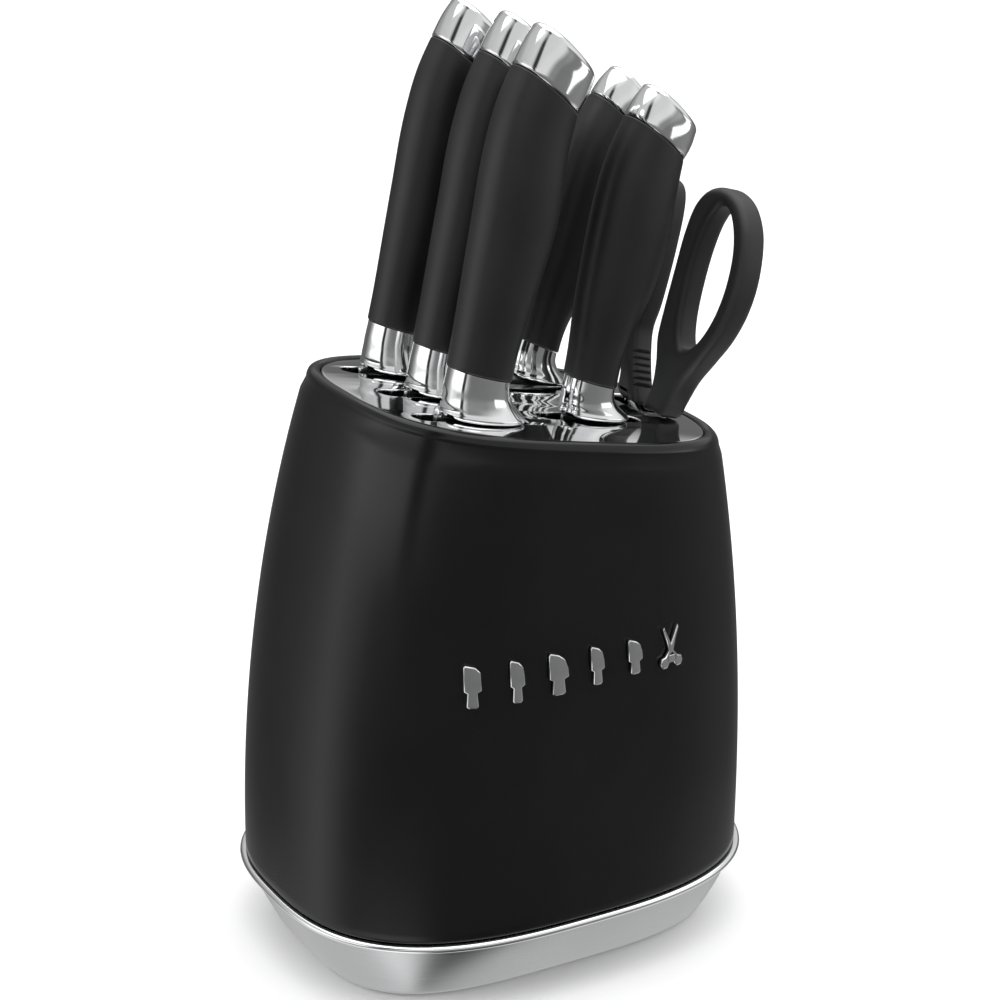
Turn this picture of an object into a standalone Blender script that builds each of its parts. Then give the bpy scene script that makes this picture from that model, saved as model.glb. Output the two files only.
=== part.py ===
"""Knife block: a tapering black body on a silver tray, with a tilted chrome
plate that holds five knives and a pair of kitchen scissors.

Frame: +Z up, the block stands on z = 0 with its origin at the middle of the
underside; X runs along the broad face, -Y is the face with the badges.
Dimensions below are millimetres, multiplied by MM where geometry is made.
"""
import bpy
import bmesh
import math
from mathutils import Vector, Matrix

MM = 0.001
GAP = 0.3                      # clearance between neighbouring solids

# ---------------------------------------------------------------- block ----
RIM_Z = 27.0                   # top of the tray, bottom of the body
RIM_W, RIM_D, RIM_N = 180.0, 143.7, 2.745      # body section at the tray
TOP_W, TOP_D, TOP_N = 139.3, 121.3, 2.949      # body section at the lip
TOP_X = 8.44                   # the top is shifted this far along X
TOP_Z = 197.8                  # height of the plate's centre
TILT = math.radians(10.51)     # the plate falls towards +X
SWELL, LEAN_POW = 2.145, 1.717  # how the section and its centre follow height
WALL = 3.4
LIP = 4.7                      # width of the lip around the plate
LEDGE = 3.4                    # how far the ledge reaches in under the plate

TRAY_W, TRAY_D, TRAY_N = 154.0, 114.8, 3.43    # underside of the tray
TRAY_X = -0.9
TRAY_Z0 = 0.5                  # the underside clears the table by the pad
BEAD = 2.0                     # the bead stands this far out of the body
TRAY_WALL = 3.0

PAD_W, PAD_D, PAD_T = 106.0, 80.0, 0.5
PLATE_T = 3.0

# -------------------------------------------------------------- knives ----
# s, y: where the knife meets the plate; lean: from the vertical; foot: how
# far the bolster's foot is cut to follow the plate
KNIVES = {
    "bread_knife":   dict(s=-32.0, y=34.7, lean=14.60, foot=2.4, size="long",
                          blade="bread", slot=(-51.6, -7.6)),
    "carving_knife": dict(s=-30.6, y=2.8, lean=14.50, foot=2.4, size="long",
                          blade="carving", slot=(-52.9, -8.9)),
    "chef_knife":    dict(s=-34.3, y=-29.5, lean=13.67, foot=2.2, size="long",
                          blade="chef", slot=(-56.6, -12.0)),
    "utility_knife": dict(s=20.0, y=28.1, lean=22.0, foot=4.5, size="short",
                          blade="utility", slot=(-2.3, 42.3)),
    "paring_knife":  dict(s=16.0, y=-21.4, lean=15.36, foot=3.2, size="short",
                          blade="paring", slot=(-2.3, 40.0)),
}
SLOT_WIDTH = 9.6

# sections along a handle, as (height, centre, half width, half thickness,
# slope of the section towards the edge side)
BOLSTER = {
    "long": [(0.0, 4.1, 14.3, 11.2, None), (0.7, 4.2, 15.3, 12.0, None),
             (2.2, 4.0, 15.2, 11.9, None), (3.6, 3.2, 14.5, 11.4, None),
             (6.0, 1.8, 13.2, 10.7, None), (9.3, 0.3, 11.9, 10.0, None),
             (12.5, -0.3, 11.3, 9.7, None), (15.3, -0.4, 11.2, 9.6, -0.08)],
    "short": [(0.0, 4.2, 11.9, 9.6, None), (0.7, 4.3, 12.9, 10.4, None),
              (2.0, 4.1, 12.8, 10.3, None), (3.4, 3.2, 12.1, 9.9, None),
              (5.4, 1.7, 10.8, 9.3, None), (8.0, 0.2, 9.7, 8.8, None),
              (10.2, -0.3, 9.3, 8.6, None), (12.3, -0.4, 9.2, 8.5, -0.08)],
}
GRIP = {
    "long": [(15.3 + GAP, -0.4, 11.2, 9.6, -0.08), (16.3, -0.4, 11.7, 10.0, -0.08),
             (25.0, -0.5, 11.8, 10.0, -0.08), (34.0, -0.3, 12.4, 10.2, -0.08),
             (44.0, -0.1, 13.1, 10.6, -0.08), (56.0, 0.3, 14.1, 11.1, -0.10),
             (68.0, 0.5, 14.9, 11.5, -0.14), (80.0, 0.1, 15.2, 11.6, -0.20),
             (92.0, -0.4, 14.6, 11.4, -0.30), (102.4, -0.1, 13.8, 11.0, -0.42),
             (111.7, 1.3, 12.8, 10.6, -0.52), (112.5, 1.4, 12.3, 10.2, -0.52)],
    "short": [(12.3 + GAP, -0.4, 9.2, 8.5, -0.08), (13.3, -0.5, 9.7, 8.9, -0.08),
              (21.0, -1.0, 9.8, 9.0, -0.08), (30.0, -1.0, 11.0, 9.5, -0.08),
              (39.0, -0.7, 12.5, 10.1, -0.08), (47.0, -0.1, 13.8, 10.7, -0.10),
              (57.0, 0.1, 14.8, 11.1, -0.14), (67.0, 0.0, 15.2, 11.3, -0.20),
              (77.0, -0.4, 14.9, 11.2, -0.28), (88.0, -0.3, 13.8, 10.9, -0.38),
              (98.9, 0.7, 12.2, 10.3, -0.48), (99.7, 0.8, 11.7, 9.9, -0.48)],
}
CAP = {
    "long": [(112.5 + GAP, 1.4, 12.3, 10.2, -0.52), (113.6, 1.7, 12.8, 10.5, -0.53),
             (118.0, 3.1, 12.9, 10.3, -0.56), (122.3, 4.5, 12.2, 9.9, -0.60),
             (126.0, 5.8, 11.0, 9.2, -0.62), (127.6, 6.3, 9.8, 8.2, -0.62),
             (128.5, 6.5, 7.4, 6.2, -0.62), (128.8, 6.5, 3.9, 3.3, -0.62)],
    "short": [(99.7 + GAP, 0.8, 11.7, 9.9, -0.48), (100.7, 1.0, 12.1, 10.1, -0.49),
              (104.2, 2.1, 11.9, 9.9, -0.51), (107.5, 3.2, 11.2, 9.4, -0.53),
              (110.8, 4.3, 10.1, 8.8, -0.56), (112.2, 4.8, 8.9, 7.8, -0.57),
              (113.0, 5.0, 6.7, 5.9, -0.57), (113.3, 5.0, 3.5, 3.1, -0.57)],
}
HANDLE_SEG = 20
TANG_W, TANG_T, TANG_TOP = 10.0, 2.2, 58.0

# blade: length, heel height below the axis (spine side, edge side), spine
# thickness, how the tip is formed
BLADES = {
    "bread":   dict(length=178.0, spine=-12.5, edge=13.0, thick=2.0, drop=15.0, belly=0.10),
    "carving": dict(length=176.0, spine=-12.0, edge=12.5, thick=2.0, drop=13.0, belly=0.35),
    "chef":    dict(length=178.0, spine=-14.0, edge=17.0, thick=2.4, drop=12.0, belly=0.75),
    "utility": dict(length=124.0, spine=-9.5, edge=11.0, thick=1.8, drop=6.0, belly=0.35),
    "paring":  dict(length=88.0, spine=-8.5, edge=10.0, thick=1.6, drop=4.0, belly=0.45),
}

# ------------------------------------------------------------ scissors ----
SC_S, SC_LEAN = 54.0, math.radians(15.5)   # place along the plate, lean
SC_U = 4.0                                 # the pivot's distance from y = 0
SC_PIVOT = -9.0                            # pivot, below the plate
SC_THICK = 10.4                            # thickness of the handles
SC_SLOT = (-17.0, 15.5)                    # scissors slot, along Y
SC_SLOT_W = 12.0
SC_BLADE_T = 2.0
SC_BLADE_L = 98.0

# --------------------------------------------------------------- badge ----
BADGE_Z, BADGE_H, BADGE_T = 122.5, 15.5, 1.6
BADGE_X0, BADGE_X1 = -44.0, 33.0

# ================================================================ tools ====
for ob in list(bpy.data.objects):
    bpy.data.objects.remove(ob, do_unlink=True)


def collection(name):
    col = bpy.data.collections.new(name)
    bpy.context.scene.collection.children.link(col)
    return col


BLOCK = collection("knife_block_with_knives")
CUTTERS = collection("cutters")


def material(name, rgb, rough, metal=0.0, coat=0.0):
    m = bpy.data.materials.new(name)
    m.use_nodes = True
    b = m.node_tree.nodes["Principled BSDF"]
    b.inputs["Base Color"].default_value = (*rgb, 1.0)
    b.inputs["Roughness"].default_value = rough
    b.inputs["Metallic"].default_value = metal
    b.inputs["Coat Weight"].default_value = coat
    m.diffuse_color = (*rgb, 1.0)
    return m


def finish(ob, mat, col=None, angle=35.0):
    """Link the object, give it its own material and smooth its round faces."""
    (col or BLOCK).objects.link(ob)
    if mat is not None:
        own = mat.copy()
        own.name = ob.name
        ob.data.materials.append(own)
    ob.data.shade_smooth()
    ob.data.set_sharp_from_angle(angle=math.radians(angle))
    return ob


def mesh_from_bm(name, bm):
    bmesh.ops.recalc_face_normals(bm, faces=bm.faces)
    me = bpy.data.meshes.new(name)
    bm.to_mesh(me)
    bm.free()
    return bpy.data.objects.new(name, me)


def loft(name, rings, cap=True, ring_closed=False):
    """A skin through closed sections; each section is a list of points."""
    bm = bmesh.new()
    rows = [[bm.verts.new(Vector(p) * MM) for p in ring] for ring in rings]
    n = len(rows[0])
    pairs = list(zip(rows[:-1], rows[1:]))
    if ring_closed:
        pairs.append((rows[-1], rows[0]))
    for a, b in pairs:
        for i in range(n):
            j = (i + 1) % n
            bm.faces.new((a[i], a[j], b[j], b[i]))
    if cap and not ring_closed:
        bm.faces.new(rows[0])
        bm.faces.new(rows[-1])
    return mesh_from_bm(name, bm)


def superellipse(w, d, n, count, cx=0.0, cy=0.0):
    pts = []
    for i in range(count):
        a = 2 * math.pi * i / count
        c, s = math.cos(a), math.sin(a)
        pts.append((cx + w / 2 * math.copysign(abs(c) ** (2 / n), c),
                    cy + d / 2 * math.copysign(abs(s) ** (2 / n), s)))
    return pts


def stadium(x0, x1, width, seg=10, cy=0.0):
    """A slot outline with round ends, along X."""
    r = width / 2
    pts = []
    for i in range(seg + 1):
        a = math.pi / 2 - math.pi * i / seg
        pts.append((x1 - r + r * math.cos(a), cy + r * math.sin(a)))
    for i in range(seg + 1):
        a = -math.pi / 2 - math.pi * i / seg
        pts.append((x0 + r + r * math.cos(a), cy + r * math.sin(a)))
    return pts


def round_rect(x0, x1, y0, y1, r, seg=5):
    pts = []
    for cx, cy, a0 in ((x1 - r, y1 - r, 0), (x0 + r, y1 - r, 90),
                       (x0 + r, y0 + r, 180), (x1 - r, y0 + r, 270)):
        for i in range(seg + 1):
            a = math.radians(a0 + 90 * i / seg)
            pts.append((cx + r * math.cos(a), cy + r * math.sin(a)))
    return pts


def flat(name, outlines, thick, bevel=0.0, matrix=None, offset=0.0):
    """A flat plate from 2D outlines (the first is the edge, the others are
    holes), made as a filled curve and turned into a mesh."""
    cu = bpy.data.curves.new(name + "_outline", "CURVE")
    cu.dimensions = "2D"
    cu.fill_mode = "BOTH"
    cu.extrude = (thick / 2 - bevel) * MM
    if bevel:
        cu.bevel_depth = bevel * MM
        cu.bevel_resolution = 1
        cu.offset = -bevel * MM
    for line in outlines:
        sp = cu.splines.new("POLY")
        sp.points.add(len(line) - 1)
        for p, (x, y) in zip(sp.points, line):
            p.co = (x * MM, y * MM, 0.0, 1.0)
        sp.use_cyclic_u = True
    tmp = bpy.data.objects.new(name + "_tmp", cu)
    CUTTERS.objects.link(tmp)
    bpy.context.view_layer.update()
    dg = bpy.context.evaluated_depsgraph_get()
    me = bpy.data.meshes.new_from_object(tmp.evaluated_get(dg))
    bpy.data.objects.remove(tmp, do_unlink=True)
    bpy.data.curves.remove(cu)
    bm = bmesh.new()
    bm.from_mesh(me)
    bpy.data.meshes.remove(me)
    bmesh.ops.remove_doubles(bm, verts=bm.verts, dist=1e-6)
    bmesh.ops.dissolve_degenerate(bm, edges=bm.edges, dist=1e-7)
    if offset:
        bmesh.ops.translate(bm, verts=bm.verts, vec=(0, 0, offset * MM))
    ob = mesh_from_bm(name, bm)
    if matrix is not None:
        ob.matrix_world = matrix
    return ob


def lathe(name, profile, seg=16, matrix=None):
    """A turned solid: the profile (radius, height) runs down its outside."""
    me = bpy.data.meshes.new(name)
    bm = bmesh.new()
    vs = [bm.verts.new((r * MM, 0, z * MM)) for r, z in profile]
    for a, b in zip(vs[:-1], vs[1:]):
        bm.edges.new((a, b))
    bm.to_mesh(me)
    bm.free()
    ob = bpy.data.objects.new(name, me)
    sc = ob.modifiers.new("turn", "SCREW")
    sc.axis = "Z"
    sc.steps = seg
    sc.render_steps = seg
    sc.use_merge_vertices = True
    sc.merge_threshold = 0.00001
    if matrix is not None:
        ob.matrix_world = matrix
    return ob


def cutter(ob):
    CUTTERS.objects.link(ob)
    ob.hide_render = True
    ob.display_type = "WIRE"
    return ob


def cut(ob, tool, op="DIFFERENCE"):
    m = ob.modifiers.new(tool.name, "BOOLEAN")
    m.operation = op
    m.solver = "EXACT"
    m.object = tool
    return m


def box_cutter(name, lo, hi, matrix=None):
    bm = bmesh.new()
    bmesh.ops.create_cube(bm, size=1.0)
    for v in bm.verts:
        v.co = Vector([(lo[i] + (v.co[i] + 0.5) * (hi[i] - lo[i])) * MM for i in range(3)])
    ob = mesh_from_bm(name, bm)
    if matrix is not None:
        ob.matrix_world = matrix
    return cutter(ob)


def smooth_line(points, per=6):
    """A closed smooth line through control points (Catmull-Rom)."""
    out = []
    n = len(points)
    for i in range(n):
        p0, p1, p2, p3 = (Vector(points[(i + k - 1) % n]) for k in range(4))
        for j in range(per):
            t = j / per
            q = 0.5 * ((2 * p1) + (p2 - p0) * t + (2 * p0 - 5 * p1 + 4 * p2 - p3) * t * t
                       + (3 * p1 - p0 - 3 * p2 + p3) * t ** 3)
            out.append((q.x, q.y))
    return out


# ============================================================ materials ====
M_SHELL = material("shell_black", (0.0125, 0.0125, 0.0130), 0.16, 0.0, 0.4)
M_TRAY = material("tray_silver", (0.58, 0.585, 0.59), 0.30, 0.95)
M_PAD = material("pad_foam", (0.02, 0.02, 0.02), 0.9)
M_CHROME = material("chrome", (0.86, 0.865, 0.87), 0.06, 1.0)
M_RACK = material("rack_plastic", (0.02, 0.02, 0.022), 0.5)
M_SCREW = material("screw_steel", (0.50, 0.50, 0.51), 0.35, 1.0)
M_BLADE = material("blade_steel", (0.66, 0.665, 0.67), 0.22, 1.0)
M_GRIP = material("grip_soft_black", (0.020, 0.020, 0.021), 0.55)
M_SCISSOR = material("scissors_black", (0.016, 0.016, 0.017), 0.5)
M_BADGE = material("badge_chrome", (0.72, 0.725, 0.73), 0.14, 1.0)

# ================================================================ shell ====
SEG = 56


def body_section(t):
    """Width, depth, exponent and centre of the body at height fraction t."""
    k = t ** SWELL
    return (RIM_W + (TOP_W - RIM_W) * k, RIM_D + (TOP_D - RIM_D) * k,
            RIM_N + (TOP_N - RIM_N) * t, TOP_X * t ** LEAN_POW)


def top_z(x):
    return TOP_Z - (x - TOP_X) * math.tan(TILT)


def body_ring(t, inset=0.0, rise=0.0, base=RIM_Z, square=False):
    """A section of the body; square measures the rise off the plate."""
    w, d, n, cx = body_section(t)
    ring = []
    dx, dz = (rise * math.sin(TILT), rise * math.cos(TILT)) if square else (0.0, rise)
    for x, y in superellipse(w - 2 * inset, d - 2 * inset, n, SEG, cx):
        ring.append((x + dx, y, base + (top_z(x) - base) * t + dz))
    return ring


rings = [body_ring(0.0, 0.6, GAP), body_ring(0.0, 0.0, GAP + 0.6)]
for t in (0.10, 0.20, 0.30, 0.40, 0.50, 0.60, 0.70, 0.79, 0.87, 0.93):
    rings.append(body_ring(t))
for inset, rise in ((0.0, -3.4), (0.25, -1.7), (0.9, -0.35), (1.9, 0.5), (3.0, 0.75),
                    (4.0, 0.45), (LIP, -0.3), (LIP, -PLATE_T - GAP),
                    (LIP + LEDGE, -PLATE_T - GAP), (LIP + LEDGE, -PLATE_T - 3.0),
                    (WALL + 0.8, -PLATE_T - 8.5)):
    rings.append(body_ring(1.0, inset, rise, square=inset > 1.0))
for t in (0.88, 0.70, 0.50, 0.28):
    rings.append(body_ring(t, WALL))
rings.append(body_ring(0.0, WALL, GAP))
shell = loft("outer_shell", rings, ring_closed=True)
finish(shell, M_SHELL, angle=40)

# ================================================================= tray ====


def tray_ring(f, z, inset=0.0):
    """Section of the tray: f = 0 at the underside, 1 at its rim."""
    w = TRAY_W + (RIM_W - TRAY_W) * f - 2 * inset
    d = TRAY_D + (RIM_D - TRAY_D) * f - 2 * inset
    n = TRAY_N + (RIM_N - TRAY_N) * f
    return [(x, y, z) for x, y in superellipse(w, d, n, SEG, TRAY_X * (1 - f))]


def flare(z):
    t = min(max((z - TRAY_Z0) / (RIM_Z - TRAY_Z0), 0.0), 1.0)
    return 1 - (1 - t) ** 1.22


tray_rings = [tray_ring(0.0, TRAY_Z0, 2.4), tray_ring(0.0, TRAY_Z0 + 0.5, 0.8),
              tray_ring(flare(2.4), 2.4)]
for z in (6.0, 11.0, 17.0, 22.0):
    tray_rings.append(tray_ring(flare(z), z))
tray_rings += [tray_ring(1.0, 24.4, -0.9), tray_ring(1.0, 24.9, -1.7),
               tray_ring(1.0, 25.7, -BEAD), tray_ring(1.0, 26.5, -1.7),
               tray_ring(1.0, 27.0, -0.8), tray_ring(1.0, 27.0, WALL + GAP),
               tray_ring(1.0, 34.0, WALL + GAP + 0.2), tray_ring(1.0, 34.0, WALL + 2.6),
               tray_ring(1.0, 24.0, WALL + 2.6), tray_ring(flare(12.0), 12.0, TRAY_WALL + 0.6),
               tray_ring(flare(4.6), 4.6, TRAY_WALL + 1.5)]
tray = loft("base_tray", tray_rings)
finish(tray, M_TRAY, angle=40)

# non-slip pad on the underside: its lower face is z = 0
pad = flat("non_slip_pad", [superellipse(PAD_W, PAD_D, 3.2, 40, TRAY_X)], PAD_T - 0.1,
           matrix=Matrix.Translation((0, 0, (PAD_T - 0.1) / 2 * MM)))
finish(pad, M_PAD)

# ============================================================ top plate ====
PLATE = Matrix.Translation((TOP_X * MM, 0, TOP_Z * MM)) @ Matrix.Rotation(TILT, 4, "Y")


def slot_outlines(scale=1.0):
    outs = []
    for k in KNIVES.values():
        outs.append(stadium(k["slot"][0], k["slot"][1], SLOT_WIDTH, 9, k["y"]))
    outs.append(round_rect(SC_S - SC_SLOT_W / 2, SC_S + SC_SLOT_W / 2,
                           SC_SLOT[0], SC_SLOT[1], 2.6, 4))
    return outs


plate_edge = [(x / math.cos(TILT), y) for x, y in
              superellipse(TOP_W - 2 * LIP - 2 * GAP, TOP_D - 2 * LIP - 2 * GAP, TOP_N, 64)]
plate = flat("top_plate", [plate_edge] + slot_outlines(), PLATE_T,
             matrix=PLATE @ Matrix.Translation((0, 0, -PLATE_T / 2 * MM)))
finish(plate, M_CHROME)

# ================================================================ knives ====


def knife_frame(k):
    """The knife's own axes: X towards its edge, Y across, Z along it."""
    lean = math.radians(k["lean"])
    tilt = lean - TILT
    foot = math.radians(k["foot"])
    widest = BOLSTER[k["size"]][1]
    reach = widest[1] + widest[2]
    lift = GAP + reach * (math.tan(tilt) - math.tan(foot))
    base = PLATE @ Vector((k["s"] * MM, k["y"] * MM, 0))
    m = Matrix.Rotation(lean, 4, "Y")
    m.translation = base + m.to_3x3() @ Vector((0, 0, lift * MM))
    return m


def handle_ring(h, c, a, b, slope, n=2.25):
    """One oval section, tilted so that it drops towards the edge side."""
    return [(x, y, h + slope * (x - c)) for x, y in
            superellipse(2 * a, 2 * b, n, HANDLE_SEG, c)]


def blade_rings(spec):
    """Sections of the blade from the end of the tang down to the tip."""
    rows = []

    def row(z, xs, xe, ts, te, xm=None):
        xm = xs + (xe - xs) * 0.35 if xm is None else xm
        return [(xs, ts / 2, z), (xs, -ts / 2, z), (xm, -ts / 2, z),
                (xe, -te / 2, z), (xe, te / 2, z), (xm, ts / 2, z)]

    half = TANG_W / 2
    for z in (TANG_TOP, TANG_TOP - 3.0, 0.6):
        w = half * (0.75 if z == TANG_TOP else 1.0)
        rows.append(row(z, -w, w, TANG_T, TANG_T))
    rows.append(row(-0.4, -half, half, TANG_T, TANG_T))
    xs0, xe0, th, length = spec["spine"], spec["edge"], spec["thick"], spec["length"]
    rows.append(row(-0.9, xs0, xe0 - 0.6, th, th * 0.7))
    for i in range(1, 12):
        f = i / 12
        z = -0.9 - (length - 0.9) * f
        # the spine stays straight and then drops; the edge sweeps up to it
        xs = xs0 + spec["drop"] * max(0.0, (f - 0.62) / 0.38) ** 2
        sweep = spec["belly"]
        up = sweep * f ** 2.4 + (1 - sweep) * max(0.0, (f - 0.78) / 0.22) ** 1.8
        tip = xs0 + spec["drop"]
        xe = xe0 + (tip - xe0) * min(1.0, up)
        xe = max(xe, xs + 2.0)
        rows.append(row(z, xs, xe, th * (1 - 0.45 * f), 0.25))
    tip = xs0 + spec["drop"]
    rows.append(row(-length, tip - 0.5, tip + 0.9, 0.5, 0.2))
    return rows


for name, k in KNIVES.items():
    frame = knife_frame(k)
    tilt = math.radians(k["lean"]) - TILT
    root = bpy.data.objects.new(name + "_axis", None)
    root.matrix_world = frame
    BLOCK.objects.link(root)
    foot = math.tan(math.radians(k["foot"]))
    base = BOLSTER[k["size"]]
    sections = []
    for i, (h, c, a, b, slope) in enumerate(base):
        if slope is None:
            f = 1 - h / base[-1][0]
            slope = foot * f - 0.08 * (1 - f)
        if i < 3:
            sections.append([(x, y, h + slope * x) for x, y in
                             superellipse(2 * a, 2 * b, 2.25, HANDLE_SEG, c)])
        else:
            sections.append(handle_ring(h + slope * c * (1 - h / base[-1][0]), c, a, b, slope))
    bolster = loft(name + "_bolster", sections)
    grip = loft(name + "_grip", [handle_ring(*r) for r in GRIP[k["size"]]])
    cap = loft(name + "_end_cap", [handle_ring(*r) for r in CAP[k["size"]]])
    blade = loft(name + "_blade", blade_rings(BLADES[k["blade"]]))
    tang_room = box_cutter(name + "_tang_room",
                           (-TANG_W / 2 - GAP, -TANG_T / 2 - GAP, -8.0),
                           (TANG_W / 2 + GAP, TANG_T / 2 + GAP, TANG_TOP + 0.6), frame)
    for ob, mat in ((bolster, M_CHROME), (grip, M_GRIP), (cap, M_CHROME), (blade, M_BLADE)):
        ob.parent = root
        finish(ob, mat, angle=32 if ob is not blade else 20)
    cut(bolster, tang_room)
    cut(grip, tang_room)

# ============================================================= scissors ====
# plane of the scissors: its X points towards -Y of the block, its Y runs up
# the scissors, its Z is the thickness; the origin is on the pivot
sc_up = Vector((math.sin(SC_LEAN), 0, math.cos(SC_LEAN)))
sc_x = Vector((0, -1, 0))
sc_n = sc_x.cross(sc_up)
sc_seat = PLATE @ Vector((SC_S * MM, 0, 0))
sc_origin = sc_seat + sc_x * (SC_U * MM) + sc_up * (SC_PIVOT * MM)
SCF = Matrix.Identity(4)
for i in range(3):
    SCF[i][0], SCF[i][1], SCF[i][2] = sc_x[i], sc_up[i], sc_n[i]
    SCF[i][3] = sc_origin[i]
sc_root = bpy.data.objects.new("scissors_axis", None)
sc_root.matrix_world = SCF
BLOCK.objects.link(sc_root)


def pq(points):
    """Points given across and up from the plate, moved to the pivot."""
    return [(u - SC_U, v - SC_PIVOT) for u, v in points]


FLOOR = 0.85                   # the handles stop this far above the plate
FRONT_OUT = pq([(8.4, FLOOR), (14.8, FLOOR), (21.6, FLOOR + 0.1), (24.0, 6.5), (28.0, 15.5),
                (34.4, 24.5), (40.6, 33.5), (44.8, 43.5), (46.4, 54.0), (45.2, 65.0),
                (41.4, 75.0), (34.0, 82.6), (24.5, 85.6), (15.2, 83.6), (9.0, 77.0),
                (6.6, 66.0), (6.2, 52.0), (6.0, 38.0), (6.4, 27.0), (9.4, 18.0),
                (10.6, 9.0)])
FRONT_IN = pq([(23.0, 26.5), (28.6, 29.0), (33.6, 35.5), (37.0, 44.0), (38.4, 54.0),
               (37.4, 64.5), (33.8, 73.0), (28.6, 78.4), (23.0, 78.8), (18.4, 72.5),
               (16.2, 62.0), (15.8, 50.0), (16.6, 39.0), (19.0, 30.6)])
REAR_OUT = pq([(3.4, FLOOR), (-1.5, FLOOR), (-6.6, FLOOR + 0.1), (-10.0, 3.4), (-10.3, 6.0),
               (-10.8, 9.5), (-13.4, 15.5), (-19.4, 24.0), (-25.6, 33.0), (-29.8, 43.0),
               (-31.4, 53.0), (-30.6, 63.5), (-27.4, 73.0), (-21.0, 80.6), (-14.8, 82.4),
               (-9.8, 79.6), (-7.2, 72.0), (-6.2, 60.0), (-6.0, 48.0), (-6.4, 36.0),
               (-7.6, 27.5), (-5.6, 20.0), (-2.4, 13.0), (1.4, 6.0)])
REAR_IN = pq([(-13.6, 70.5), (-16.6, 73.4), (-20.6, 71.4), (-23.4, 64.0), (-24.4, 54.0),
              (-22.8, 44.5), (-19.4, 37.0), (-15.8, 33.6), (-13.4, 36.5), (-12.6, 46.0),
              (-12.6, 58.0)])


def front_tang(sign):
    """Outline of a blade half: sign +1 carries the front handle and cuts on
    the front side, -1 is its mirror with the rear handle."""
    neck = [(13.6, 20.0), (12.6, 23.5), (8.6, 23.5), (7.6, 20.0), (7.0, 8.9)] if sign > 0 \
        else [(11.6, 19.5), (11.0, 21.5), (8.6, 21.5), (8.0, 19.0), (3.4, 9.4)]
    left = [(0.0, 7.4), (-4.6, 5.9), (-7.2, 2.2), (-7.8, -3.0), (-7.6, -18.0),
            (-6.6, -45.0), (-4.6, -72.0), (-1.6, -SC_BLADE_L + 4.0), (0.3, -SC_BLADE_L)]
    right = [(1.4, -SC_BLADE_L + 3.0), (2.8, -76.0), (3.8, -50.0), (4.6, -24.0),
             (5.2, -11.0), (7.4, -4.0), (8.6, 2.0), (12.0, 9.0)] if sign > 0 else \
            [(1.4, -SC_BLADE_L + 3.0), (2.8, -76.0), (3.8, -50.0), (4.6, -24.0),
             (5.2, -11.0), (7.0, -4.0), (7.6, 2.0), (8.2, 9.0)]
    return [(sign * x, y) for x, y in neck + left + right]


def comb(a, b, depth=1.0, count=6):
    """Outline that cuts cracker teeth into the side between a and b."""
    a, b = Vector(a), Vector(b)
    side = Vector((a.y - b.y, b.x - a.x)).normalized()
    row = [a.lerp(b, i / (count * 2)) + side * (-depth if i % 2 else 0.4)
           for i in range(count * 2 + 1)]
    return [(p.x, p.y) for p in row + [b + side * 3.0, a + side * 3.0]]


HOLE_R = 3.3
hole = [(HOLE_R * math.cos(2 * math.pi * i / 20), HOLE_R * math.sin(2 * math.pi * i / 20))
        for i in range(20)]


def on_scissors(ob, mat, angle=30):
    ob.parent = sc_root
    finish(ob, mat, angle=angle)
    return ob


blade_f = flat("scissors_blade_front", [front_tang(+1), hole], SC_BLADE_T - 0.15,
               offset=-SC_BLADE_T / 2 - 0.075)
blade_r = flat("scissors_blade_rear", [front_tang(-1), hole], SC_BLADE_T - 0.15,
               offset=SC_BLADE_T / 2 + 0.075)
on_scissors(blade_f, M_BLADE)
on_scissors(blade_r, M_BLADE)

handle_f = flat("scissors_handle_front", [smooth_line(FRONT_OUT, 2), smooth_line(FRONT_IN, 2)],
                SC_THICK, bevel=2.2)
handle_r = flat("scissors_handle_rear", [smooth_line(REAR_OUT, 2), smooth_line(REAR_IN, 2)],
                SC_THICK, bevel=2.2)
on_scissors(handle_f, M_SCISSOR, 38)
on_scissors(handle_r, M_SCISSOR, 38)
room = SC_BLADE_T + 0.15
FRONT_ROOM = [(6.4, 4.0), (6.5, 9.0), (7.0, 20.2), (8.2, 24.0), (13.0, 24.0), (14.2, 20.2),
              (12.8, 8.8), (12.6, 4.0)]
REAR_ROOM = [(-12.2, 19.7), (-11.4, 22.1), (-8.2, 22.1), (-7.4, 19.2), (-2.7, 9.0),
             (-2.7, 4.0), (-8.8, 4.0), (-8.8, 9.0)]
cut(handle_f, cutter(flat("front_tang_room", [FRONT_ROOM], room + 0.6, matrix=SCF, offset=-room / 2)))
cut(handle_r, cutter(flat("rear_tang_room", [REAR_ROOM], room + 0.6, matrix=SCF, offset=room / 2)))
# cracker teeth along the rear handle's inner side, above the neck
TEETH = pq([(-5.6, 20.0), (1.2, 6.2)])
cut(handle_r, cutter(flat("teeth_comb", [comb(*TEETH)], SC_THICK + 2.0, matrix=SCF)))

pivot = lathe("scissors_pivot", [(0.0, 3.9), (3.6, 3.9), (4.6, 3.3), (4.6, room + 0.25),
                                 (HOLE_R - 0.3, room + 0.25), (HOLE_R - 0.3, -room - 0.25),
                                 (4.6, -room - 0.25), (4.6, -3.3), (3.6, -3.9), (0.0, -3.9)])
on_scissors(pivot, M_SCREW)

# =========================================================== guide rack ====
RACK_Z, RACK_T, LEG_R = 118.0, 3.0, 4.0
RACK = (-72.0, 26.0, -47.0, 47.0)
FLOOR_Z = 4.6
LEGS = [(-62.0, 18.5), (-62.0, -13.5), (19.0, 12.0), (19.0, -6.0)]


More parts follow.
